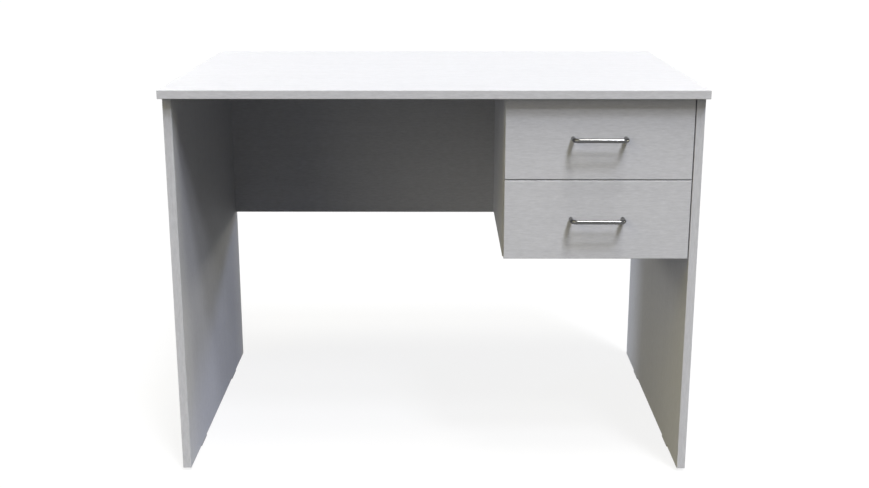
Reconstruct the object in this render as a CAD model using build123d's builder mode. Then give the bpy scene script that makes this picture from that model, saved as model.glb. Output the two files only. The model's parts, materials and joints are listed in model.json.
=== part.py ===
from build123d import *
import math
import os

os.makedirs("parts", exist_ok=True)

# A flat-pack writing desk with a two-drawer pedestal hung under the right of its top.
# Millimetres. +X is to the sitter's right, +Y to the back, +Z up.
# The origin is on the floor, under the middle of the desk's outer box.

# Overall sizes: the top overhangs by the same at its sides and back, and by more at the front
overall_height = 750.0
top_width = 994.0
panel_depth = 654.0
board = 16.0
top_overhang = 5.0
front_overhang = 18.0
edge_round = 1.0

# Modesty panel between the side panels
modesty_height = 363.0
modesty_inset = 5.0

# Drawer pedestal: the opening is the clear width between its side and the desk's right side panel
pedestal_height = 301.5
pedestal_opening = 331.5
pedestal_depth = 375.0

# Drawer fronts and the gaps round them
front_gap = 2.0
front_top_gap = 1.5
front_right_gap = 2.0
front_left_inset = 1.5
front_rest_gap = 1.0

# Drawer boxes
box_board = 12.0
box_height = 100.0
box_rear_gap = 10.0
box_round = 2.0
base_sheet = 3.0
base_rise = 12.0
groove_depth = 6.0
groove_play = 0.2
back_dado = 4.0
back_inset = 8.0

# Bow handles
handle_centres = 96.0
handle_bar = 8.0
handle_sides = 16
handle_projection = 30.0
handle_bend = 9.0
handle_rise = 2.0
handle_screw_radius = 1.9
handle_screw_bite = 10.0
handle_hole_play = 0.4
handle_screw_head_radius = 4.0
handle_screw_head = 2.4

# Roller runners: heights are measured from the under side of the cabinet profile
runner_gap = 12.5
runner_sheet = 1.2
runner_clearance = 6.5
runner_setback = 2.0
runner_overrun = 3.0
runner_bend = 1.0
track_width = 10.5
lip_width = 8.0
lip_play = 0.5
rail_play = 1.1
rail_width = 9.5
drawer_drop = 5.0
roller_radius = 10.5
roller_width = 7.0
roller_sides = 36
roller_inset = 14.0
roller_spacing_out = 64.0
roller_gap = 0.3
axle_radius = 2.5
axle_fit = 0.06
axle_collar_radius = 4.0
axle_collar = 0.6
rivet_radius = 4.0
rivet_head = 1.4
rivet_recess_radius = 5.0
rivet_recess = 2.2
stop_height = 3.8

# Cam fittings and dowels
fit_gap = 0.05
hidden_sides = 6
cam_sides = 8
cam_radius = 7.4
cam_floor = 3.0
cam_setback = 24.0
cam_slot_play = 0.3
cam_recess = 1.2
cam_recess_length = 9.0
cam_recess_width = 1.8
bolt_radius = 2.5
bolt_bite = 11.0
bolt_bore_radius = 4.0
bolt_head_radius = 3.4
bolt_head = 5.0
cover_radius = 8.5
cover_sheet = 0.8
cover_sides = 16
dowel_radius = 4.0
dowel_bite = 11.0
dowel_length = 30.0
dowel_end_play = 0.5
fitting_from_end = 95.0
dowel_from_end = 190.0
pedestal_fitting_from_end = 60.0
modesty_fitting_from_end = 60.0
modesty_dowel_x = 200.0

# Feet under the side panels
foot_height = 6.0
foot_length = 50.0
foot_side_inset = 0.2
foot_from_end = 138.0
foot_chamfer = 1.5
peg_radius = 2.5
peg_length = 12.0
peg_spacing = 28.0

# Places worked out from the sizes above
top_depth = panel_depth + top_overhang + front_overhang
front_y = -(panel_depth + top_overhang - handle_projection) / 2
top_front_y = front_y - front_overhang
back_y = front_y + panel_depth
panel_mid_y = front_y + panel_depth / 2
under_top = overall_height - board
panel_height = under_top - foot_height
side_in_x = top_width / 2 - top_overhang - board
side_mid_x = side_in_x + board / 2

modesty_mid_y = back_y - modesty_inset - board / 2
modesty_low_z = under_top - modesty_height

pedestal_in_x = side_in_x - pedestal_opening
pedestal_out_x = pedestal_in_x - board
pedestal_mid_x = pedestal_in_x - board / 2
opening_mid_x = side_in_x - pedestal_opening / 2
pedestal_front_y = front_y + board + front_rest_gap
pedestal_back_y = pedestal_front_y + pedestal_depth
pedestal_low_z = under_top - pedestal_height
pedestal_base_top = pedestal_low_z + board
inner_front_y = pedestal_back_y - board

front_left_x = pedestal_out_x + front_left_inset
front_right_x = side_in_x - front_right_gap
front_mid_x = (front_left_x + front_right_x) / 2
front_width = front_right_x - front_left_x
front_height = (pedestal_height - front_gap - front_top_gap) / 2
front_back_y = front_y + board

box_width = pedestal_opening - 2 * runner_gap
box_inner_width = box_width - 2 * box_board
box_left_x = pedestal_in_x + runner_gap
box_side_mid = (box_width - box_board) / 2
box_end_y = inner_front_y - box_rear_gap
box_length = box_end_y - front_back_y
box_rise = board + runner_clearance + drawer_drop

runner_start_y = pedestal_front_y + runner_setback
runner_end_y = box_end_y + runner_overrun
runner_length = runner_end_y - runner_start_y
rear_roller_z = runner_sheet + roller_gap + roller_radius
channel_height = rear_roller_z + roller_radius + lip_play + runner_sheet
rail_low_z = channel_height + rail_play
front_roller_z = rail_low_z - roller_gap - roller_radius
front_roller_y = runner_start_y + roller_inset
rear_roller_y = runner_end_y - runner_sheet - roller_gap - roller_radius
drawer_travel = rear_roller_y - front_roller_y - roller_spacing_out

foot_ys = [front_y + foot_from_end, back_y - foot_from_end]
drawer_lows = {"lower": pedestal_low_z, "upper": pedestal_low_z + front_height + front_gap}
runner_lows = {level: low + box_rise - drawer_drop for level, low in drawer_lows.items()}

LEFT, RIGHT, BACK, DOWN = (-1, 0, 0), (1, 0, 0), (0, 1, 0), (0, 0, -1)
ON_END = (Align.CENTER, Align.CENTER, Align.MIN)
UNDER_END = (Align.CENTER, Align.CENTER, Align.MAX)
CORNER = (Align.MIN, Align.MIN)


def save(builder, node):
    builder.part.label = node
    export_step(builder.part, f"parts/{node}.step")


# Pins and bores of the hidden fittings are prisms of few sides: from each place, depth along its Z
def prisms(places, radius, depth, sides=hidden_sides, mode=Mode.ADD):
    with BuildSketch(*[Plane(place) for place in places]) as outline:
        RegularPolygon(radius, sides)
    extrude(outline.sketch, amount=depth, mode=mode)


def raised(places, height):
    return [place * Location((0, 0, height)) for place in places]


# Frame of a joint between two boards: Z runs into the board that is drilled in its edge, X faces its cam
def joint(x, y, z, into, cam_face=BACK):
    return Plane(origin=(x, y, z), x_dir=cam_face, z_dir=into).location


# Seat of a cam in a board, with Z out of the board's face
def cam_seat(place, thickness):
    return place * Location((cam_floor - thickness / 2, 0, cam_setback), (0, 90, 0))


# Bore along the edge and round pocket in the face of the board that takes the cams
def cut_cam_bores(places, thickness):
    seats = [cam_seat(place, thickness) for place in places]
    prisms(places, bolt_bore_radius, cam_setback + bolt_head / 2 + fit_gap, mode=Mode.SUBTRACT)
    prisms(seats, cam_radius + fit_gap, thickness - cam_floor, cam_sides, mode=Mode.SUBTRACT)


# Blind holes in the face of the board that takes the cam bolts
def cut_bolt_holes(places):
    prisms(places, bolt_radius + fit_gap, -bolt_bite - fit_gap, mode=Mode.SUBTRACT)


# Blind dowel holes in a board's face
def cut_dowel_face_holes(places):
    prisms(places, dowel_radius + fit_gap, -dowel_bite, mode=Mode.SUBTRACT)


# Blind dowel holes in a board's edge
def cut_dowel_edge_holes(places):
    prisms(places, dowel_radius + fit_gap, dowel_length - dowel_bite + dowel_end_play, mode=Mode.SUBTRACT)


# Cam discs with a driver slot in the face and a wider slot that takes the bolt's head
def make_cam_locks(places, thickness):
    seats = [cam_seat(place, thickness) for place in places]
    depth = thickness - cam_floor
    slot = 2 * (bolt_head_radius + cam_slot_play)
    slot_length = cam_radius + bolt_head / 2 + cam_slot_play
    with BuildPart() as cams:
        prisms(seats, cam_radius, depth, cam_sides)
        with Locations(*raised(places, cam_setback - cam_radius)):
            Box(slot, slot, slot_length, align=ON_END, mode=Mode.SUBTRACT)
        with Locations(*raised(seats, depth)):
            Box(cam_recess_length, cam_recess_width, cam_recess, align=UNDER_END, mode=Mode.SUBTRACT)
    return cams


# Bolts that screw into one board's face and end in a head inside the other board's cam
def make_cam_bolts(places):
    head_start = cam_setback - bolt_head / 2
    with BuildPart() as bolts:
        prisms(raised(places, -bolt_bite), bolt_radius, bolt_bite + head_start)
        prisms(raised(places, head_start), bolt_head_radius, bolt_head)
    return bolts


# The same shape on the other side of the drawer opening
def mirrored(builder):
    with BuildPart() as copy:
        mirror(builder.part, about=Plane.YZ.offset(opening_mid_x))
    return copy


# Joints of the carcass
side_fitting_ys = [front_y + fitting_from_end, back_y - fitting_from_end]
pedestal_fitting_ys = [
    pedestal_front_y + pedestal_fitting_from_end,
    pedestal_back_y - pedestal_fitting_from_end,
]
modesty_fitting_zs = [
    modesty_low_z + modesty_fitting_from_end,
    under_top - modesty_fitting_from_end,
]
base_mid_z = pedestal_low_z + board / 2
back_mid_y = pedestal_back_y - board / 2
back_mid_z = (pedestal_base_top + under_top) / 2
side_dowel_y = front_y + dowel_from_end

left_top_cams = [joint(-side_mid_x, y, under_top, DOWN, RIGHT) for y in side_fitting_ys]
right_top_cams = [joint(side_mid_x, y, under_top, DOWN, LEFT) for y in side_fitting_ys]
pedestal_top_cams = [joint(pedestal_mid_x, y, under_top, DOWN, RIGHT) for y in pedestal_fitting_ys]
left_modesty_cams = [joint(-side_in_x, modesty_mid_y, z, RIGHT, BACK) for z in modesty_fitting_zs]
right_modesty_cams = [joint(side_in_x, modesty_mid_y, z, LEFT, BACK) for z in modesty_fitting_zs]
left_base_cam = joint(pedestal_in_x, pedestal_fitting_ys[0], base_mid_z, RIGHT, DOWN)
right_base_cam = joint(side_in_x, pedestal_fitting_ys[0], base_mid_z, LEFT, DOWN)
left_back_cam = joint(pedestal_in_x, back_mid_y, back_mid_z, RIGHT, BACK)
right_back_cam = joint(side_in_x, back_mid_y, back_mid_z, LEFT, BACK)

left_top_dowel = joint(-side_mid_x, side_dowel_y, under_top, DOWN)
right_top_dowel = joint(side_mid_x, side_dowel_y, under_top, DOWN)
pedestal_top_dowel = joint(pedestal_mid_x, side_dowel_y, under_top, DOWN)
modesty_top_dowels = [joint(x, modesty_mid_y, under_top, DOWN) for x in (-modesty_dowel_x, modesty_dowel_x)]
left_base_dowel = joint(pedestal_in_x, pedestal_fitting_ys[1], base_mid_z, RIGHT)
right_base_dowel = joint(side_in_x, pedestal_fitting_ys[1], base_mid_z, LEFT)


# The two pegs on top of a foot
def peg_places(hand, foot_y):
    return [Location((hand * side_mid_x, foot_y + end * peg_spacing / 2, foot_height)) for end in (-1, 1)]


# Desk top
with BuildPart() as desk_top:
    with BuildSketch(Plane.XY.offset(under_top)):
        with Locations((0, top_front_y)):
            Rectangle(top_width, top_depth, align=(Align.CENTER, Align.MIN))
    extrude(amount=board)
    fillet(desk_top.edges().filter_by(Axis.Z, reverse=True), edge_round)
    cut_bolt_holes(left_top_cams + right_top_cams + pedestal_top_cams)
    cut_dowel_face_holes([left_top_dowel, right_top_dowel, pedestal_top_dowel, *modesty_top_dowels])
save(desk_top, "desk_top")


# A full-depth side panel, before the pedestal's and the runners' holes
def make_side_panel(hand, top_cams, top_dowel, modesty_cams):
    with BuildPart() as panel:
        with BuildSketch(Plane.YZ.offset(hand * side_mid_x - board / 2)):
            with Locations((panel_mid_y, foot_height + panel_height / 2)):
                Rectangle(panel_depth, panel_height)
        extrude(amount=board)
        fillet(panel.edges().filter_by(Axis.Z), edge_round)
        cut_cam_bores(top_cams, board)
        cut_dowel_edge_holes([top_dowel])
        cut_bolt_holes(modesty_cams)
        for foot_y in foot_ys:
            prisms(peg_places(hand, foot_y), peg_radius + fit_gap, peg_length + fit_gap, mode=Mode.SUBTRACT)
    return panel


left_side_panel = make_side_panel(-1, left_top_cams, left_top_dowel, left_modesty_cams)
save(left_side_panel, "left_side_panel")

right_panel_blank = make_side_panel(1, right_top_cams, right_top_dowel, right_modesty_cams)
with BuildPart() as right_side_panel:
    add(right_panel_blank.part)
    cut_bolt_holes([right_base_cam, right_back_cam])
    cut_dowel_face_holes([right_base_dowel])
save(right_side_panel, "right_side_panel")

with BuildPart() as modesty_panel:
    with BuildSketch(Plane.XZ.offset(-modesty_mid_y)):
        with Locations((0, modesty_low_z + modesty_height / 2)):
            Rectangle(2 * side_in_x, modesty_height)
    extrude(amount=board / 2, both=True)
    fillet(modesty_panel.faces().sort_by(Axis.Z)[0].edges().filter_by(Axis.X), edge_round)
    cut_cam_bores(left_modesty_cams + right_modesty_cams, board)
    cut_dowel_edge_holes(modesty_top_dowels)
save(modesty_panel, "modesty_panel")

# Drawer pedestal
with BuildPart() as pedestal_side:
    with BuildSketch(Plane.YZ.offset(pedestal_out_x)):
        with Locations((pedestal_front_y, pedestal_low_z)):
            Rectangle(pedestal_depth, pedestal_height, align=CORNER)
    extrude(amount=board)
    fillet(pedestal_side.edges().filter_by(Axis.Z), edge_round)
    cut_cam_bores(pedestal_top_cams, board)
    cut_dowel_edge_holes([pedestal_top_dowel])
    cut_bolt_holes([left_base_cam, left_back_cam])
    cut_dowel_face_holes([left_base_dowel])
save(pedestal_side, "pedestal_side")

with BuildPart() as pedestal_base:
    with BuildSketch(Plane.XY.offset(pedestal_low_z)):
        with Locations((pedestal_in_x, pedestal_front_y)):
            Rectangle(pedestal_opening, pedestal_depth, align=CORNER)
    extrude(amount=board)
    cut_cam_bores([left_base_cam, right_base_cam], board)
    cut_dowel_edge_holes([left_base_dowel, right_base_dowel])
save(pedestal_base, "pedestal_base")

with BuildPart() as pedestal_back:
    with BuildSketch(Plane.XZ.offset(-back_mid_y)):
        with Locations((opening_mid_x, back_mid_z)):
            Rectangle(pedestal_opening, under_top - pedestal_base_top)
    extrude(amount=board / 2, both=True)
    cut_cam_bores([left_back_cam, right_back_cam], board)
save(pedestal_back, "pedestal_back")

# Feet with two pegs each, pushed into the side panels' lower edges
for side, hand in (("left", -1), ("right", 1)):
    for end, foot_y in zip(("front", "rear"), foot_ys):
        with BuildPart() as foot:
            with BuildSketch():
                with Locations((hand * side_mid_x, foot_y)):
                    Rectangle(board - 2 * foot_side_inset, foot_length)
            extrude(amount=foot_height)
            chamfer(foot.faces().sort_by(Axis.Z)[0].edges(), foot_chamfer)
            prisms(peg_places(hand, foot_y), peg_radius, peg_length)
        save(foot, f"{end}_{side}_foot")

# Knock-down fittings of the carcass, in the sets that belong to its boards
cam_sets = {
    "side": left_top_cams + right_top_cams,
    "modesty": left_modesty_cams + right_modesty_cams,
    "pedestal": [*pedestal_top_cams, left_base_cam, right_base_cam, left_back_cam, right_back_cam],
}
for board_set, cams in cam_sets.items():
    save(make_cam_locks(cams, board), f"{board_set}_cam_locks")
    save(make_cam_bolts(cams), f"{board_set}_cam_bolts")

dowel_sets = {
    "side": [left_top_dowel, right_top_dowel],
    "modesty": modesty_top_dowels,
    "pedestal": [pedestal_top_dowel, left_base_dowel, right_base_dowel],
}
for board_set, places in dowel_sets.items():
    with BuildPart() as dowels:
        prisms(raised(places, -dowel_bite), dowel_radius, dowel_length)
    save(dowels, f"{board_set}_dowels")

# Covers over the cams that face the knee space and the back of the room
covered_cams = {
    "side": left_top_cams + right_top_cams[1:],
    "modesty": cam_sets["modesty"],
}
for board_set, cams in covered_cams.items():
    with BuildPart() as covers:
        cover_seats = raised([cam_seat(place, board) for place in cams], board - cam_floor)
        prisms(cover_seats, cover_radius, cover_sheet, cover_sides)
    save(covers, f"{board_set}_cam_covers")


# Riveted axle with a collar, and a head that ends inside the roller's recess
def add_axle(place):
    head_start = axle_collar + 2 * roller_gap + roller_width - rivet_recess
    with Locations(place):
        Cylinder(axle_radius, head_start, align=ON_END)
    prisms([place], axle_collar_radius, axle_collar)
    prisms(raised([place], head_start), rivet_radius, rivet_head)


# Roller on its axle, its rim drawn with many sides, and a recess for the rivet's head in its outer face
def make_roller(place):
    inner_face = place * Location((0, 0, axle_collar + roller_gap))
    outer_face = inner_face * Location((0, 0, roller_width))
    with BuildPart() as roller:
        with BuildSketch(Plane(inner_face)):
            RegularPolygon(roller_radius, roller_sides)
            Circle(axle_radius + axle_fit, mode=Mode.SUBTRACT)
        extrude(amount=roller_width)
        prisms([outer_face], rivet_recess_radius, -rivet_recess, mode=Mode.SUBTRACT)
    return roller


# Sheet-steel channel on the cabinet: track, web and lip, with the front roller's axle and two end stops
def make_cabinet_runner(low_z, axle_place):
    lip_start_y = front_roller_y + roller_radius + runner_setback
    stop_reach = math.sqrt(roller_radius**2 - (roller_radius + roller_gap - stop_height) ** 2)
    stop_y = rear_roller_y - drawer_travel - stop_reach - roller_gap
    face = (pedestal_in_x, runner_start_y, low_z)
    with BuildPart() as runner:
        with BuildSketch(Plane(origin=face, x_dir=RIGHT, z_dir=(0, -1, 0))) as profile:
            Rectangle(track_width, channel_height, align=CORNER)
            fillet(profile.vertices().group_by(Axis.X)[0], runner_bend)
            with Locations((runner_sheet, runner_sheet)):
                Rectangle(track_width, channel_height - 2 * runner_sheet, align=CORNER, mode=Mode.SUBTRACT)
            with Locations((lip_width, channel_height - runner_sheet)):
                Rectangle(track_width, runner_sheet, align=CORNER, mode=Mode.SUBTRACT)
        extrude(amount=-runner_length)
        with BuildSketch(Plane.XY.offset(low_z + channel_height)):
            with Locations((pedestal_in_x + runner_sheet, runner_start_y)):
                Rectangle(lip_width, lip_start_y - runner_start_y, align=CORNER)
        extrude(amount=-runner_sheet, mode=Mode.SUBTRACT)
        with BuildSketch(Plane.XY.offset(low_z + runner_sheet)):
            with Locations((pedestal_in_x + runner_sheet + axle_collar, stop_y - runner_sheet)):
                Rectangle(roller_width, runner_sheet, align=CORNER)
        extrude(amount=stop_height)
        with BuildSketch(Plane.XY.offset(low_z + runner_sheet)):
            with Locations((pedestal_in_x + runner_sheet, runner_end_y - runner_sheet)):
                Rectangle(track_width - runner_sheet, runner_sheet, align=CORNER)
        extrude(amount=rear_roller_z - runner_sheet)
        add_axle(axle_place)
    return runner


# Sheet-steel rail on the drawer: flange under the drawer side, web and running rail, with the rear axle
def make_drawer_runner(low_z, axle_place):
    web_x = runner_gap - runner_sheet
    web_low = drawer_drop - runner_sheet
    face = (pedestal_in_x, runner_start_y, low_z)
    with BuildPart() as runner:
        with BuildSketch(Plane(origin=face, x_dir=RIGHT, z_dir=(0, -1, 0))) as profile:
            with Locations((web_x, web_low)):
                Rectangle(runner_sheet, rail_low_z + runner_sheet - web_low, align=CORNER)
                Rectangle(runner_sheet + box_board, runner_sheet, align=CORNER)
            with Locations((runner_gap - rail_width, rail_low_z)):
                Rectangle(rail_width, runner_sheet, align=CORNER)
            rail_corner = profile.vertices().group_by(Axis.Y)[-1].sort_by(Axis.X)[-1]
            flange_corner = profile.vertices().group_by(Axis.Y)[0].sort_by(Axis.X)[0]
            fillet([rail_corner, flange_corner], runner_bend)
        extrude(amount=-(box_end_y - runner_start_y))
        add_axle(axle_place)
    return runner


# Runners and their rollers
for level, low_z in runner_lows.items():
    front_axle_x = pedestal_in_x + runner_sheet
    rear_axle_x = pedestal_in_x + runner_gap - runner_sheet
    front_axle = Plane(origin=(front_axle_x, front_roller_y, low_z + front_roller_z), z_dir=RIGHT).location
    rear_axle = Plane(origin=(rear_axle_x, rear_roller_y, low_z + rear_roller_z), z_dir=LEFT).location
    left_pieces = {
        "cabinet_runner": make_cabinet_runner(low_z, front_axle),
        "drawer_runner": make_drawer_runner(low_z, rear_axle),
        "front_roller": make_roller(front_axle),
        "rear_roller": make_roller(rear_axle),
    }
    for piece, builder in left_pieces.items():
        save(builder, f"{level}_left_{piece}")
        save(mirrored(builder), f"{level}_right_{piece}")


# Drawer side with a groove for the base, a dado for the back and a cam pocket in its outer face
def make_drawer_side(low_z, cam_place):
    inner_x = box_left_x + box_board
    with BuildPart() as side:
        with BuildSketch(Plane.YZ.offset(box_left_x)):
            with Locations((front_back_y, low_z)):
                Rectangle(box_length, box_height, align=CORNER)
        extrude(amount=box_board)
        fillet(side.edges().filter_by(Axis.Y).group_by(Axis.Z)[-1], box_round)
        with BuildSketch(Plane.YZ.offset(inner_x)):
            with Locations((front_back_y, low_z + base_rise)):
                Rectangle(box_length, base_sheet + groove_play, align=CORNER)
        extrude(amount=-groove_depth, mode=Mode.SUBTRACT)
        with BuildSketch(Plane.YZ.offset(inner_x)):
            with Locations((box_end_y - back_inset - box_board, low_z + base_rise + base_sheet)):
                Rectangle(box_board, box_height, align=CORNER)
        extrude(amount=-back_dado, mode=Mode.SUBTRACT)
        cut_cam_bores([cam_place], box_board)
    return side


# Drawer front with the base's groove, the cam bolts' holes and the handle's screw holes
def make_drawer_front(front_low_z, base_low_z, cam_places, screw_places):
    with BuildPart() as front:
        with BuildSketch(Plane.XZ.offset(-front_y)):
            with Locations((front_left_x, front_low_z)):
                Rectangle(front_width, front_height, align=CORNER)
        extrude(amount=-board)
        fillet(front.faces().sort_by(Axis.Y)[0].edges(), edge_round)
        with BuildSketch(Plane.XZ.offset(-front_back_y)):
            with Locations((opening_mid_x, base_low_z + (base_sheet + groove_play) / 2)):
                Rectangle(box_inner_width + 2 * groove_depth, base_sheet + groove_play)
        extrude(amount=groove_depth, mode=Mode.SUBTRACT)
        cut_bolt_holes(cam_places)
        prisms(screw_places, handle_screw_radius + handle_hole_play, -board, mode=Mode.SUBTRACT)
    return front


# Bar bent to a bow, its round section drawn with many sides, and a tapped hole in the end of each leg
def make_handle(handle_z, screw_places):
    left_x = front_mid_x - handle_centres / 2
    right_x = front_mid_x + handle_centres / 2
    bar_y = front_y - handle_projection + handle_bar / 2
    corners = [(left_x, front_y), (left_x, bar_y), (right_x, bar_y), (right_x, front_y)]
    with BuildPart() as handle:
        with BuildLine(Plane.XY.offset(handle_z)):
            FilletPolyline(*corners, radius=handle_bend)
        with BuildSketch(Plane(origin=(left_x, front_y, handle_z), z_dir=(0, -1, 0))):
            RegularPolygon(handle_bar / 2, handle_sides)
        sweep()
        tap_depth = board + handle_screw_bite + fit_gap
        prisms(screw_places, handle_screw_radius + fit_gap, -tap_depth, mode=Mode.SUBTRACT)
    return handle


for level, front_low_z in drawer_lows.items():
    box_low_z = front_low_z + box_rise
    base_low_z = box_low_z + base_rise
    base_top_z = base_low_z + base_sheet
    handle_z = front_low_z + front_height / 2 + handle_rise
    cam_z = box_low_z + box_height / 2
    left_cam = joint(opening_mid_x - box_side_mid, front_back_y, cam_z, BACK, LEFT)
    right_cam = joint(opening_mid_x + box_side_mid, front_back_y, cam_z, BACK, RIGHT)
    cam_places = [left_cam, right_cam]
    handle_screw_places = [
        Plane(origin=(front_mid_x + side * handle_centres / 2, front_back_y, handle_z), z_dir=BACK).location
        for side in (-1, 1)
    ]

    save(make_drawer_front(front_low_z, base_low_z, cam_places, handle_screw_places), f"{level}_drawer_front")
    left_side = make_drawer_side(box_low_z, left_cam)
    save(left_side, f"{level}_drawer_left_side")
    save(mirrored(left_side), f"{level}_drawer_right_side")
    save(make_handle(handle_z, handle_screw_places), f"{level}_handle")
    save(make_cam_locks(cam_places, box_board), f"{level}_drawer_cam_locks")
    save(make_cam_bolts(cam_places), f"{level}_drawer_cam_bolts")

    with BuildPart() as drawer_back:
        with BuildSketch(Plane.XZ.offset(-(box_end_y - back_inset))):
            with Locations((opening_mid_x, (base_top_z + box_low_z + box_height) / 2)):
                Rectangle(box_inner_width + 2 * back_dado, box_low_z + box_height - base_top_z)
        extrude(amount=box_board)
        fillet(drawer_back.edges().filter_by(Axis.X).group_by(Axis.Z)[-1], box_round)
    save(drawer_back, f"{level}_drawer_back")

    with BuildPart() as drawer_base:
        with BuildSketch(Plane.XY.offset(base_low_z)):
            with Locations((opening_mid_x, box_end_y)):
                base_length = box_length + groove_depth - groove_play
                base_width = box_inner_width + 2 * (groove_depth - groove_play)
                Rectangle(base_width, base_length, align=(Align.CENTER, Align.MAX))
        extrude(amount=base_sheet)
    save(drawer_base, f"{level}_drawer_base")

    with BuildPart() as handle_screws:
        prisms(handle_screw_places, handle_screw_head_radius, handle_screw_head, cam_sides)
        prisms(handle_screw_places, handle_screw_radius, -board - handle_screw_bite)
    save(handle_screws, f"{level}_handle_screws")

print("drawer travel", round(drawer_travel, 2), "roller radius", roller_radius)
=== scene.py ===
import json
import math

import bmesh
import bpy
from mathutils import Matrix, Vector


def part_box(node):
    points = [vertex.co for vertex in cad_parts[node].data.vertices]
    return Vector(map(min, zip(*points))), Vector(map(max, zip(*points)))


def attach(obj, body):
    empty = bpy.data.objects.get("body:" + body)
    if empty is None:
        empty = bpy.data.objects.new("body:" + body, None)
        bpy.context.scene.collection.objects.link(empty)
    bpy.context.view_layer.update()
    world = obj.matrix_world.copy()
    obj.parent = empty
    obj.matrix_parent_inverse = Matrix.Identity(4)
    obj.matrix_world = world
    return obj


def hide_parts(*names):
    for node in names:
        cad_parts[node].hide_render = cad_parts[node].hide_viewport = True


# Finishes, fittings, camera and light of the writing desk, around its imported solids
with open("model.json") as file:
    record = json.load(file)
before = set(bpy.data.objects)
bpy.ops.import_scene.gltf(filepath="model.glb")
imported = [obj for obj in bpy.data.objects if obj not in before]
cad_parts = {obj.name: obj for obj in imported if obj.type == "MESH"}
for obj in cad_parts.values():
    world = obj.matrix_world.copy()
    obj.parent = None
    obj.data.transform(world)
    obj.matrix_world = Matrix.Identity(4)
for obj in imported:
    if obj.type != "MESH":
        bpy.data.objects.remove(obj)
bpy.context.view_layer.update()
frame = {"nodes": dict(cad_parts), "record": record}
nodes = frame["nodes"]
scene = bpy.context.scene
X, Y, Z = (Vector(axis) for axis in ((1, 0, 0), (0, 1, 0), (0, 0, 1)))
LEVELS = ("upper", "lower")
SIDES = ("left", "right")
MM = 0.001

# Handle of bent round bar
BAR_RADIUS = 4.0 * MM
BAR_BEND = 9.0 * MM
BAR_SEGMENTS = 40
BEND_STEPS = 12

# Turned shapes, and the angle in degrees from which a corner stays sharp
LATHE_SEGMENTS = 48
ROUND_STEPS = 6
SHARP_ANGLE = 40

# Digits of a metre to which the corners of one CAD solid agree
CORNER_DIGITS = 6

# Pan-head screws with a cross recess
PAN_FLAT_SHARE = 0.6
PAN_SIDE_SHARE = 0.4
CROSS_WIDTH = 1.3 * MM
CROSS_DEPTH = 1.1 * MM
HANDLE_SCREW_RADIUS = 4.2 * MM
HANDLE_SCREW_HEAD = 2.4 * MM
HANDLE_SCREW_SHANK = 1.95 * MM
HANDLE_SCREW_CROSS = 4.4 * MM
RUNNER_SCREW_RADIUS = 3.6 * MM
RUNNER_SCREW_HEAD = 1.5 * MM
RUNNER_SCREW_CROSS = 3.8 * MM
RUNNER_SCREW_FROM_END = 62.0 * MM
RUNNER_SHEET = 1.2 * MM

# Rims of the cams, and the covers over the cams that show
CAM_RIM_INSIDE = 6.4 * MM
CAM_RIM_OUTSIDE = 8.2 * MM
CAM_RIM_HEIGHT = 0.4 * MM
COVER_RADIUS = 8.6 * MM
COVER_LIP = 0.6 * MM
COVER_DOME = 1.3 * MM

# Nylon rollers and the rivets that they turn on
ROLLER_EDGE = 0.7 * MM
ROLLER_BORE_RADIUS = 2.56 * MM
ROLLER_RECESS_RADIUS = 4.9 * MM
ROLLER_RECESS = 2.2 * MM
GROOVE_FROM_RIM = 2.4 * MM
GROOVE_WIDTH = 2.2 * MM
GROOVE_SLOPE = 0.3 * MM
GROOVE_DEPTH = 0.5 * MM
RIVET_RADIUS = 4.3 * MM
RIVET_SIDE = 0.85 * MM
RIVET_HEAD = 1.65 * MM
RIVET_CLEARANCE = 0.3 * MM


# Colours are written as they are seen on a screen, in steps of 255
def screen_colour(red, green, blue):
    linear = []
    for step in (red, green, blue):
        value = step / 255
        linear.append(value / 12.92 if value <= 0.04045 else ((value + 0.055) / 1.055) ** 2.4)
    return (*linear, 1.0)


# Darkest and palest tone of a finish
def tones(dark, pale):
    return screen_colour(*dark), screen_colour(*pale)


LAMINATE = tones((174, 175, 179), (202, 203, 207))
DRAWER_FOIL = tones((182, 183, 184), (196, 197, 198))
HARDBOARD_WHITE = tones((184, 185, 185), (195, 196, 196))
HARDBOARD_BROWN = tones((98, 70, 46), (138, 102, 70))
BEECH = tones((178, 140, 98), (208, 172, 128))
HANDLE_METAL = tones((86, 86, 86), (100, 100, 100))
ZINC = tones((150, 152, 156), (186, 188, 192))
COATED_STEEL = tones((190, 191, 190), (204, 205, 204))
NYLON = tones((216, 213, 204), (230, 228, 220))
FOOT_PLASTIC = tones((150, 150, 152), (166, 166, 168))
COVER_PLASTIC = tones((176, 176, 179), (190, 190, 193))

# Faint gloss of the laminate, and how far a plastic's roughness varies either way
LAMINATE_SPECULAR = 0.06
PLASTIC_VARIATION = 0.06

# A face whose normal points up by more than this is an upper face
UPPER_FACE = 0.5

# Sockets of the Mix node that take and give colours
MIX_FIRST = 6
MIX_SECOND = 7
MIX_RESULT = 2


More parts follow.
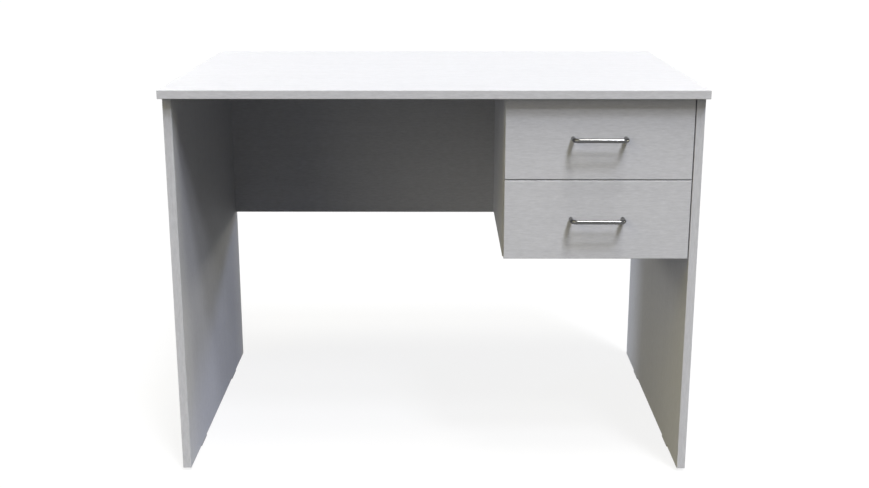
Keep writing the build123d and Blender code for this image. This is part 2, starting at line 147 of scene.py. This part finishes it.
# Small wrapper for building a node material
class Finish:
    def __init__(self, name, metallic=0.0):
        self.material = bpy.data.materials.new(name)
        self.material.use_nodes = True
        self.shader = self.material.node_tree.nodes["Principled BSDF"]
        self.shader.inputs["Metallic"].default_value = metallic

    def node(self, kind, **settings):
        made = self.material.node_tree.nodes.new(kind)
        for name, value in settings.items():
            setattr(made, name, value)
        return made

    def link(self, source, target):
        self.material.node_tree.links.new(source, target)

    # Noise on the object's own coordinates, with so many features a metre along X, Y and Z
    def noise(self, per_metre, detail):
        place = self.node("ShaderNodeTexCoord")
        mapping = self.node("ShaderNodeMapping")
        mapping.inputs["Scale"].default_value = per_metre
        noise = self.node("ShaderNodeTexNoise")
        noise.inputs["Scale"].default_value = 1.0
        noise.inputs["Detail"].default_value = detail
        self.link(place.outputs["Object"], mapping.inputs["Vector"])
        self.link(mapping.outputs["Vector"], noise.inputs["Vector"])
        return noise.outputs[0]

    # Weighted sum of noises, centred on one half
    def blend(self, *layers):
        total = 0.5 - sum(weight for _, weight in layers) / 2
        for source, weight in layers:
            step = self.node("ShaderNodeMath", operation="MULTIPLY_ADD")
            self.link(source, step.inputs[0])
            step.inputs[1].default_value = weight
            if isinstance(total, float):
                step.inputs[2].default_value = total
            else:
                self.link(total, step.inputs[2])
            total = step.outputs[0]
        return total

    # Colour between two others, each a plain colour or another node's output
    def mix(self, factor, first, second):
        mix = self.node("ShaderNodeMix", data_type="RGBA")
        self.link(factor, mix.inputs["Factor"])
        for socket, colour in ((mix.inputs[MIX_FIRST], first), (mix.inputs[MIX_SECOND], second)):
            if isinstance(colour, tuple):
                socket.default_value = colour
            else:
                self.link(colour, socket)
        return mix.outputs[MIX_RESULT]

    def paint(self, colour):
        self.link(colour, self.shader.inputs["Base Color"])

    # Roughness between two values
    def sheen(self, factor, low, high):
        span = self.node("ShaderNodeMapRange")
        self.link(factor, span.inputs["Value"])
        span.inputs["To Min"].default_value = low
        span.inputs["To Max"].default_value = high
        self.link(span.outputs["Result"], self.shader.inputs["Roughness"])

    # Relief of a given height in metres
    def relief(self, height, metres, strength):
        bump = self.node("ShaderNodeBump")
        bump.inputs["Strength"].default_value = strength
        bump.inputs["Distance"].default_value = metres
        self.link(height, bump.inputs["Height"])
        self.link(bump.outputs["Normal"], self.shader.inputs["Normal"])


# So many features a metre along the grain and across it
def grain(axis, along, across):
    return tuple(along if name == axis else across for name in "XYZ")


# So many features a metre in every direction
def even(per_metre):
    return (per_metre, per_metre, per_metre)


# Pale grey wood-grain laminate: slow clouds, fine streaks and short pores along the grain
def laminate(name, axis):
    finish = Finish(name)
    finish.shader.inputs["Specular IOR Level"].default_value = LAMINATE_SPECULAR
    clouds = finish.noise(grain(axis, along=2, across=70), detail=3.0)
    streaks = finish.noise(grain(axis, along=60, across=330), detail=3.0)
    pores = finish.noise(grain(axis, along=150, across=1500), detail=2.0)
    tone = finish.blend((clouds, 0.25), (streaks, 0.9), (pores, 0.7))
    finish.paint(finish.mix(tone, *LAMINATE))
    finish.sheen(streaks, low=0.54, high=0.68)
    height = finish.blend((streaks, 0.5), (pores, 0.8))
    finish.relief(height, metres=0.06 * MM, strength=0.6)
    return finish.material


# White foil of the drawer boxes, with a faint printed grain along the drawer
def drawer_foil(name):
    finish = Finish(name)
    streaks = finish.noise(grain("Y", along=10, across=400), detail=3.0)
    specks = finish.noise(even(2200), detail=2.0)
    tone = finish.blend((streaks, 0.8), (specks, 0.4))
    finish.paint(finish.mix(tone, *DRAWER_FOIL))
    finish.sheen(specks, low=0.42, high=0.58)
    finish.relief(specks, metres=0.03 * MM, strength=0.5)
    return finish.material


# Hardboard, white-faced above and brown fibre below
def hardboard(name):
    finish = Finish(name)
    fibres = finish.noise(even(900), detail=4.0)
    mottle = finish.noise(even(260), detail=2.0)
    white_tone = finish.blend((fibres, 0.6), (mottle, 0.4))
    white = finish.mix(white_tone, *HARDBOARD_WHITE)
    brown_tone = finish.blend((fibres, 1.2), (mottle, 0.8))
    brown = finish.mix(brown_tone, *HARDBOARD_BROWN)
    surface = finish.node("ShaderNodeNewGeometry")
    normal = finish.node("ShaderNodeSeparateXYZ")
    finish.link(surface.outputs["Normal"], normal.inputs["Vector"])
    above = finish.node("ShaderNodeMath", operation="GREATER_THAN")
    finish.link(normal.outputs["Z"], above.inputs[0])
    above.inputs[1].default_value = UPPER_FACE
    finish.paint(finish.mix(above.outputs[0], brown, white))
    finish.sheen(fibres, low=0.5, high=0.7)
    finish.relief(fibres, metres=0.08 * MM, strength=0.6)
    return finish.material


# Beech of the dowels
def beech(name):
    finish = Finish(name)
    rays = finish.noise(grain("Z", along=60, across=500), detail=3.0)
    tone = finish.blend((rays, 1.2))
    finish.paint(finish.mix(tone, *BEECH))
    finish.sheen(rays, low=0.5, high=0.7)
    finish.relief(rays, metres=0.05 * MM, strength=0.6)
    return finish.material


# Bright metal with faint polishing marks along X
def polished_metal(name, colours, low, high):
    finish = Finish(name, metallic=1.0)
    marks = finish.noise(grain("X", along=8, across=2600), detail=3.0)
    tone = finish.blend((marks, 0.8))
    finish.paint(finish.mix(tone, *colours))
    finish.sheen(marks, low, high)
    return finish.material


# Epoxy-coated sheet steel, with the coat's slight ripple
def coated_steel(name):
    finish = Finish(name)
    ripple = finish.noise(even(420), detail=2.0)
    dust = finish.noise(even(60), detail=3.0)
    tone = finish.blend((ripple, 0.3), (dust, 0.7))
    finish.paint(finish.mix(tone, *COATED_STEEL))
    finish.sheen(dust, low=0.28, high=0.42)
    finish.relief(ripple, metres=0.05 * MM, strength=0.5)
    return finish.material


# Moulded plastic with a fine spark-eroded texture
def moulded_plastic(name, colours, roughness):
    finish = Finish(name)
    texture = finish.noise(even(3000), detail=2.0)
    flow = finish.noise(even(90), detail=2.0)
    tone = finish.blend((texture, 0.5), (flow, 0.6))
    finish.paint(finish.mix(tone, *colours))
    finish.sheen(texture, roughness - PLASTIC_VARIATION, roughness + PLASTIC_VARIATION)
    finish.relief(texture, metres=0.03 * MM, strength=0.5)
    return finish.material


# One material for each slot of the record
materials = {
    "top_board": laminate("top_board", "X"),
    "upright_board": laminate("upright_board", "Z"),
    "cross_board": laminate("cross_board", "X"),
    "front_board": laminate("front_board", "X"),
    "drawer_board": drawer_foil("drawer_board"),
    "hardboard": hardboard("hardboard"),
    "beech": beech("beech"),
    "handle_metal": polished_metal("handle_metal", HANDLE_METAL, low=0.175, high=0.185),
    "coated_steel": coated_steel("coated_steel"),
    "nylon": moulded_plastic("nylon", NYLON, roughness=0.4),
    "zinc": polished_metal("zinc", ZINC, low=0.25, high=0.42),
    "foot_plastic": moulded_plastic("foot_plastic", FOOT_PLASTIC, roughness=0.5),
    "cover_plastic": moulded_plastic("cover_plastic", COVER_PLASTIC, roughness=0.45),
}
for subpart in frame["record"]["subparts"]:
    mesh = nodes[subpart["node"]].data
    mesh.materials.clear()
    mesh.materials.append(materials[subpart["material_slot"]])


# A new piece of the object, smooth-shaded except at sharp corners
def add_piece(name, build, body, slot, replaced=()):
    mesh = bpy.data.meshes.new(name)
    bmesh.ops.recalc_face_normals(build, faces=build.faces)
    build.to_mesh(mesh)
    build.free()
    mesh.shade_smooth()
    mesh.set_sharp_from_angle(angle=math.radians(SHARP_ANGLE))
    mesh.materials.append(materials[slot])
    piece = bpy.data.objects.new(name, mesh)
    scene.collection.objects.link(piece)
    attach(piece, body)
    if replaced:
        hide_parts(*replaced)


# Matrix that puts a shape's Z along a direction, at a place
def facing(place, outward):
    return Matrix.Translation(place) @ outward.to_track_quat("Z", "Y").to_matrix().to_4x4()


# Ring of vertices about Z, or one vertex on the axis
def ring(build, place, radius, height):
    if radius == 0:
        return [build.verts.new(place @ Vector((0, 0, height)))]
    verts = []
    for i in range(LATHE_SEGMENTS):
        angle = math.tau * i / LATHE_SEGMENTS
        x, y = radius * math.cos(angle), radius * math.sin(angle)
        verts.append(build.verts.new(place @ Vector((x, y, height))))
    return verts


# Faces between two rings, either of which may be a single vertex
def bridge(build, lower, upper):
    count = max(len(lower), len(upper))
    for i in range(count):
        corners = [lower[i % len(lower)], lower[(i + 1) % len(lower)]]
        corners += [upper[(i + 1) % len(upper)], upper[i % len(upper)]]
        build.faces.new(dict.fromkeys(corners))


# Turned shape through (radius, height) points, about Z
def lathe(build, place, profile, closed=False):
    rings = [ring(build, place, radius, height) for radius, height in profile]
    for lower, upper in zip(rings, rings[1:]):
        bridge(build, lower, upper)
    if closed:
        bridge(build, rings[-1], rings[0])
    return rings


# Quarter of an ellipse from a side up to a top, as (radius, height) points
def quarter_round(outer, inner, low, high):
    points = []
    for step in range(ROUND_STEPS):
        angle = step / ROUND_STEPS * math.pi / 2
        radius = inner + (outer - inner) * math.cos(angle)
        points.append((radius, low + (high - low) * math.sin(angle)))
    return [*points, (inner, high)]


# Pan head from the edge of its seat to the edge of its flat top, as (radius, height) points
def pan_head(radius, height):
    flat = radius * PAN_FLAT_SHARE
    side = height * PAN_SIDE_SHARE
    return [(radius, 0), *quarter_round(radius, flat, side, height)]


# Turned shape with a cross recess sunk in its flat top
def cross_head(build, place, profile, cross_length):
    rings = lathe(build, place, profile)
    top = profile[-1][1]
    half = CROSS_WIDTH / 2
    arm = cross_length / 2
    corners = [Vector((arm, -half, 0)), Vector((arm, half, 0)), Vector((half, half, 0))]
    outline = []
    for quarter in range(4):
        spin = Matrix.Rotation(quarter * math.pi / 2, 3, "Z")
        outline += [spin @ corner for corner in corners]
    rims = []
    for height in (top, top - CROSS_DEPTH):
        rims.append([build.verts.new(place @ (point + Z * height)) for point in outline])
    bridge(build, rims[0], rims[1])
    build.faces.new(rims[1])
    edges = []
    for loop in (rings[-1], rims[0]):
        edges += [build.edges.get((vert, loop[i - 1])) for i, vert in enumerate(loop)]
    bmesh.ops.triangle_fill(build, edges=edges, use_beauty=True)


# Boxes of the separate solids in a CAD node, found by joining faces that share points
def solid_boxes(node):
    mesh = nodes[node].data
    keys = [tuple(round(c, CORNER_DIGITS) for c in vertex.co) for vertex in mesh.vertices]
    parent = {key: key for key in keys}

    def root(key):
        while parent[key] != key:
            parent[key] = parent[parent[key]]
            key = parent[key]
        return key

    for polygon in mesh.polygons:
        first = root(keys[polygon.vertices[0]])
        for index in polygon.vertices[1:]:
            parent[root(keys[index])] = first
    groups = {}
    for key in parent:
        groups.setdefault(root(key), []).append(key)
    solids = sorted(groups.values(), key=min)
    return [(Vector(map(min, *points)), Vector(map(max, *points))) for points in solids]


# Distance from a point to a node's box
def distance_to(node, point):
    low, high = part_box(node)
    return sum(max(low[i] - point[i], 0, point[i] - high[i]) for i in range(3))


# Place on the board's face where each solid of a fitting shows, looking out of the face.
# The face is the one nearer to the solid, unless a side of the board's thin axis is given.
def face_seats(node, boards, side=0):
    seats = []
    for low, high in solid_boxes(node):
        middle = (low + high) / 2
        board_low, board_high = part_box(min(boards, key=lambda board: distance_to(board, middle)))
        size = board_high - board_low
        axis = min(range(3), key=lambda i: size[i])
        sign = side or math.copysign(1, middle[axis] - (board_low[axis] + board_high[axis]) / 2)
        outward = Vector()
        outward[axis] = sign
        middle[axis] = (board_high if sign > 0 else board_low)[axis]
        seats.append(facing(middle, outward))
    return seats


# Bow handle of round bar, its legs square to the drawer front
def add_handle(level):
    low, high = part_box(f"{level}_handle")
    height = (low.z + high.z) / 2
    left, right = low.x + BAR_RADIUS, high.x - BAR_RADIUS
    bend_y = low.y + BAR_RADIUS + BAR_BEND
    path = [(Vector((left, high.y, height)), -Y)]
    for centre_x, start in ((left + BAR_BEND, math.pi), (right - BAR_BEND, 1.5 * math.pi)):
        for step in range(BEND_STEPS + 1):
            angle = start + step / BEND_STEPS * math.pi / 2
            out = Vector((math.cos(angle), math.sin(angle), 0))
            path.append((Vector((centre_x, bend_y, height)) + BAR_BEND * out, Z.cross(out)))
    path.append((Vector((right, high.y, height)), Y))
    build = bmesh.new()
    rings = []
    for point, along in path:
        across = along.cross(Z)
        circle = []
        for i in range(BAR_SEGMENTS):
            angle = math.tau * i / BAR_SEGMENTS
            out = math.cos(angle) * across + math.sin(angle) * Z
            circle.append(build.verts.new(point + BAR_RADIUS * out))
        rings.append(circle)
    for first, second in zip(rings, rings[1:]):
        bridge(build, first, second)
    build.faces.new(rings[0])
    build.faces.new(rings[-1])
    add_piece(f"{level}_handle_bar", build, f"{level}_drawer", "handle_metal", [f"{level}_handle"])


# Screws through a drawer front into its handle, with their heads inside the drawer
def add_handle_screws(level):
    node = f"{level}_handle_screws"
    front = f"{level}_drawer_front"
    low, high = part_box(front)
    tip = low.y - high.y
    profile = [(0, tip), (HANDLE_SCREW_SHANK, tip), (HANDLE_SCREW_SHANK, 0)]
    profile += pan_head(HANDLE_SCREW_RADIUS, HANDLE_SCREW_HEAD)
    build = bmesh.new()
    for seat in face_seats(node, [front], side=1):
        cross_head(build, seat, profile, HANDLE_SCREW_CROSS)
    add_piece(f"{level}_handle_screw_heads", build, f"{level}_drawer", "zinc", [node])


# Thin round rims that cover the edges of the cams' pockets
def add_cam_rims(name, seats, body):
    chamfer = CAM_RIM_HEIGHT / 2
    profile = [
        (CAM_RIM_INSIDE, 0),
        (CAM_RIM_OUTSIDE, 0),
        (CAM_RIM_OUTSIDE, chamfer),
        (CAM_RIM_OUTSIDE - chamfer, CAM_RIM_HEIGHT),
        (CAM_RIM_INSIDE, CAM_RIM_HEIGHT),
    ]
    build = bmesh.new()
    for seat in seats:
        lathe(build, seat, profile, closed=True)
    add_piece(name, build, body, "zinc")


# Domed covers pushed over the cams that show
def add_covers(name, node, seats):
    profile = [(0, 0), (COVER_RADIUS, 0), *quarter_round(COVER_RADIUS, 0, COVER_LIP, COVER_DOME)]
    build = bmesh.new()
    for seat in seats:
        lathe(build, seat, profile)
    add_piece(name, build, "desk_frame", "cover_plastic", [node])


# Pan-head screws that hold the runners
def add_runner_screws(name, seats, body):
    profile = [(0, 0), *pan_head(RUNNER_SCREW_RADIUS, RUNNER_SCREW_HEAD)]
    build = bmesh.new()
    for seat in seats:
        cross_head(build, seat, profile, RUNNER_SCREW_CROSS)
    add_piece(name, build, body, "zinc")


# Places along a runner of its two screws
def screw_rows(low, high):
    return (low.y + RUNNER_SCREW_FROM_END, high.y - RUNNER_SCREW_FROM_END)


# Cabinet runners are screwed through their webs
def cabinet_screw_seats(side):
    seats = []
    for level in LEVELS:
        low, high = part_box(f"{level}_{side}_cabinet_runner")
        outward = X if side == "left" else -X
        web_x = low.x + RUNNER_SHEET if side == "left" else high.x - RUNNER_SHEET
        middle_z = (low.z + high.z) / 2
        seats += [facing(Vector((web_x, y, middle_z)), outward) for y in screw_rows(low, high)]
    return seats


# Drawer runners are screwed up through their flanges, into the drawer's sides
def drawer_screw_seats(level):
    seats = []
    for side in SIDES:
        low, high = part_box(f"{level}_{side}_drawer_runner")
        board_low, board_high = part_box(f"{level}_drawer_{side}_side")
        middle_x = (board_low.x + board_high.x) / 2
        seats += [facing(Vector((middle_x, y, low.z)), -Z) for y in screw_rows(low, high)]
    return seats


# The way a roller's open face looks: away from the runner that carries it
def roller_outward(side, end):
    return X if (side == "left") == (end == "front") else -X


# Turned nylon roller with rounded edges, a groove in its face and a recess for the rivet's head
def add_roller(level, side, end):
    node = f"{level}_{side}_{end}_roller"
    low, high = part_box(node)
    radius = (high.z - low.z) / 2
    width = high.x - low.x
    outward = roller_outward(side, end)
    rim = quarter_round(radius, radius - ROLLER_EDGE, width - ROLLER_EDGE, width)
    groove_out = radius - GROOVE_FROM_RIM
    groove_in = groove_out - GROOVE_WIDTH
    groove_floor = width - GROOVE_DEPTH
    profile = [(ROLLER_BORE_RADIUS, 0)]
    profile += [(edge_radius, width - height) for edge_radius, height in reversed(rim)]
    profile += rim
    profile += [(groove_out, width), (groove_out - GROOVE_SLOPE, groove_floor)]
    profile += [(groove_in + GROOVE_SLOPE, groove_floor), (groove_in, width)]
    profile += [(ROLLER_RECESS_RADIUS, width), (ROLLER_RECESS_RADIUS, width - ROLLER_RECESS)]
    profile += [(ROLLER_BORE_RADIUS, width - ROLLER_RECESS)]
    build = bmesh.new()
    lathe(build, facing((low + high) / 2 - outward * width / 2, outward), profile, closed=True)
    add_piece(f"{level}_{side}_{end}_tyre", build, f"roller_{level}_{side}_{end}", "nylon", [node])


# Domed rivet heads over the ends of the axles, inside the rollers' recesses
def add_rivets(name, rollers, body):
    profile = [(0, 0), (RIVET_RADIUS, 0), *quarter_round(RIVET_RADIUS, 0, RIVET_SIDE, RIVET_HEAD)]
    build = bmesh.new()
    for level, side, end in rollers:
        low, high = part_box(f"{level}_{side}_{end}_roller")
        reach = (high.x - low.x) / 2 - ROLLER_RECESS + RIVET_CLEARANCE
        outward = roller_outward(side, end)
        lathe(build, facing((low + high) / 2 + outward * reach, outward), profile)
    add_piece(name, build, body, "zinc")


# Fittings of each drawer
for level in LEVELS:
    drawer = f"{level}_drawer"
    add_handle(level)
    add_handle_screws(level)
    drawer_sides = [f"{drawer}_{side}_side" for side in SIDES]
    add_cam_rims(f"{level}_drawer_cam_rims", face_seats(f"{drawer}_cam_locks", drawer_sides), drawer)
    add_runner_screws(f"{level}_drawer_runner_screws", drawer_screw_seats(level), drawer)
    add_rivets(f"{level}_rear_rivets", [(level, side, "rear") for side in SIDES], drawer)
    for side in SIDES:
        for end in ("front", "rear"):
            add_roller(level, side, end)

# Fittings of the carcass
for side in SIDES:
    add_runner_screws(f"{side}_cabinet_runner_screws", cabinet_screw_seats(side), "desk_frame")
add_rivets("front_rivets", [(level, side, "front") for level in LEVELS for side in SIDES], "desk_frame")
pedestal_boards = ["pedestal_side", "pedestal_base", "pedestal_back"]
add_cam_rims("pedestal_cam_rims", face_seats("pedestal_cam_locks", pedestal_boards), "desk_frame")
side_panels = ["left_side_panel", "right_side_panel"]
side_covers = face_seats("side_cam_covers", side_panels)
add_covers("side_cover_caps", "side_cam_covers", side_covers)
modesty_covers = face_seats("modesty_cam_covers", ["modesty_panel"])
add_covers("modesty_cover_caps", "modesty_cam_covers", modesty_covers)


# True where no cover lies over a cam
def is_open(seat):
    return all((seat.translation - cover.translation).length > COVER_RADIUS for cover in side_covers)


open_cams = [seat for seat in face_seats("side_cam_locks", side_panels) if is_open(seat)]
add_cam_rims("side_cam_rims", open_cams, "desk_frame")

# Camera at the photograph's viewing angle, placed from the drawer fronts' plane and the floor.
# Angles are in degrees, and Blender takes the lens and its sensor in millimetres.
CAMERA_LENS = 50
CAMERA_SENSOR = 36
CAMERA_X = 7.96 * MM
CAMERA_BEFORE_FRONTS = 2174.35 * MM
CAMERA_HEIGHT = 1041.5 * MM
CAMERA_TILT_DOWN = 14.953
CAMERA_TURN_LEFT = 0.179
camera_data = bpy.data.cameras.new("camera")
camera_data.lens = CAMERA_LENS
camera_data.sensor_width = CAMERA_SENSOR
camera = bpy.data.objects.new("camera", camera_data)
fronts_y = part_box("upper_drawer_front")[0].y
camera.location = (CAMERA_X, fronts_y - CAMERA_BEFORE_FRONTS, CAMERA_HEIGHT)
camera_tilt = math.radians(90 - CAMERA_TILT_DOWN)
camera.rotation_euler = (camera_tilt, 0, math.radians(CAMERA_TURN_LEFT))
scene.collection.objects.link(camera)
scene.camera = camera
scene.view_settings.view_transform = "Standard"


# Light path test: 1 for the rays that show the background, 0 for the rays that carry light
def background_rays(tree):
    path = tree.nodes.new("ShaderNodeLightPath")
    total = path.outputs["Is Camera Ray"]
    for kind in ("Is Glossy Ray", "Is Transmission Ray"):
        either = tree.nodes.new("ShaderNodeMath")
        either.operation = "MAXIMUM"
        tree.links.new(total, either.inputs[0])
        tree.links.new(path.outputs[kind], either.inputs[1])
        total = either.outputs[0]
    return total


# Shader that is one thing to the rays that carry light and another to those that show the background
def by_ray(tree, lit, shown, output_kind):
    choose = tree.nodes.new("ShaderNodeMixShader")
    tree.links.new(background_rays(tree), choose.inputs[0])
    tree.links.new(lit.outputs[0], choose.inputs[1])
    tree.links.new(shown.outputs[0], choose.inputs[2])
    output = tree.nodes.new(output_kind)
    tree.links.new(choose.outputs[0], output.inputs["Surface"])


# Even background light of a given strength
def even_light(tree, strength):
    background = tree.nodes.new("ShaderNodeBackground")
    background.inputs["Color"].default_value = (1, 1, 1, 1)
    background.inputs["Strength"].default_value = strength
    return background


# Plain soft surroundings: a weak even light, seen as white
AMBIENT = 0.08
SEEN_WHITE = 1
world = bpy.data.worlds.new("surroundings")
world.use_nodes = True
world.node_tree.nodes.clear()
scene.world = world
ambient_light = even_light(world.node_tree, AMBIENT)
white_light = even_light(world.node_tree, SEEN_WHITE)
by_ray(world.node_tree, ambient_light, white_light, "ShaderNodeOutputWorld")

# Pale floor that keeps the object's shadow: a matt surface, with enough glow to be seen as white
FLOOR_REACH = 60
FLOOR_CELLS = 8
FLOOR_DROP = 0.2 * MM
FLOOR_TONE = 0.10
FLOOR_GLOW = 0.86
paint = bpy.data.materials.new("floor")
paint.use_nodes = True
tree = paint.node_tree
tree.nodes.clear()
matt = tree.nodes.new("ShaderNodeBsdfDiffuse")
matt.inputs["Color"].default_value = (FLOOR_TONE, FLOOR_TONE, FLOOR_TONE, 1)
glow = tree.nodes.new("ShaderNodeEmission")
glow.inputs["Strength"].default_value = FLOOR_GLOW
seen = tree.nodes.new("ShaderNodeAddShader")
tree.links.new(matt.outputs[0], seen.inputs[0])
tree.links.new(glow.outputs[0], seen.inputs[1])
by_ray(tree, matt, seen, "ShaderNodeOutputMaterial")
build = bmesh.new()
bmesh.ops.create_grid(build, x_segments=FLOOR_CELLS, y_segments=FLOOR_CELLS, size=FLOOR_REACH)
floor_mesh = bpy.data.meshes.new("floor")
build.to_mesh(floor_mesh)
build.free()
floor_mesh.materials.append(paint)
floor = bpy.data.objects.new("floor", floor_mesh)
floor.location.z = -FLOOR_DROP
scene.collection.objects.link(floor)


# Soft distant lamp: the way its light travels, its level on a face square to it, its spread in degrees
def add_lamp(name, travel, level, spread, colour):
    data = bpy.data.lights.new(name, "SUN")
    data.energy = math.pi * level
    data.angle = math.radians(spread)
    data.color = colour
    lamp = bpy.data.objects.new(name, data)
    lamp.rotation_euler = Vector(travel).to_track_quat("-Z", "Y").to_euler()
    scene.collection.objects.link(lamp)


# Tall key light above the camera's right, as a row of distant lamps.
# Each has its lean to the left and its fall for each metre back, its level, its spread and its colour.
KEY_LOW = (0.895, 0.912, 1.0)
KEY_HIGH = (1.0, 0.985, 0.925)
KEY_ROW = [
    (0.4, 1.2, 0.335, 10, KEY_LOW),
    (0.54, 1.98, 0.611, 10, KEY_LOW),
    (0.45, 3.7, 0.25, 14, KEY_HIGH),
    (0.5, 5.3, 0.52, 16, KEY_HIGH),
]
for number, (lean, fall, level, spread, colour) in enumerate(KEY_ROW, start=1):
    add_lamp(f"key_{number}", (-lean, 1.0, -fall), level, spread, colour)

# Fills at the left, and a cool one through the open back
WARM = (1.0, 0.945, 0.81)
AMBER = (1.0, 0.85, 0.3)
COOL = (0.58, 0.66, 1.0)
add_lamp("front_left_fill", travel=(0.7, 1.0, -0.2), level=0.215, spread=40, colour=WARM)
add_lamp("high_left_fill", travel=(1.0, 0.5, -0.9), level=0.18, spread=40, colour=AMBER)
add_lamp("rear_right_fill", travel=(-1.0, -1.0, -0.44), level=0.22, spread=12, colour=COOL)

# Low lamps for the outer sides and the back, tinted to even out the fills.
# Each has its travel to the right and to the back, its level and its colour.
LOW_FALL = 0.03
LOW_SPREAD = 12
PALE_BLUE = (0.81, 0.865, 1.0)
PALE_YELLOW = (1.0, 0.96, 0.82)
STRAW = (1.0, 0.95, 0.7)
LOW_LAMPS = {
    "left": (1.0, -0.12, 0.545, PALE_BLUE),
    "right": (-1.0, 0.0, 0.38, STRAW),
    "back_left": (0.35, -1.0, 0.37, PALE_YELLOW),
    "back_right": (-0.35, -1.0, 0.34, PALE_YELLOW),
}
for name, (across, back, level, colour) in LOW_LAMPS.items():
    add_lamp(f"low_{name}", (across, back, -LOW_FALL), level, LOW_SPREAD, colour)
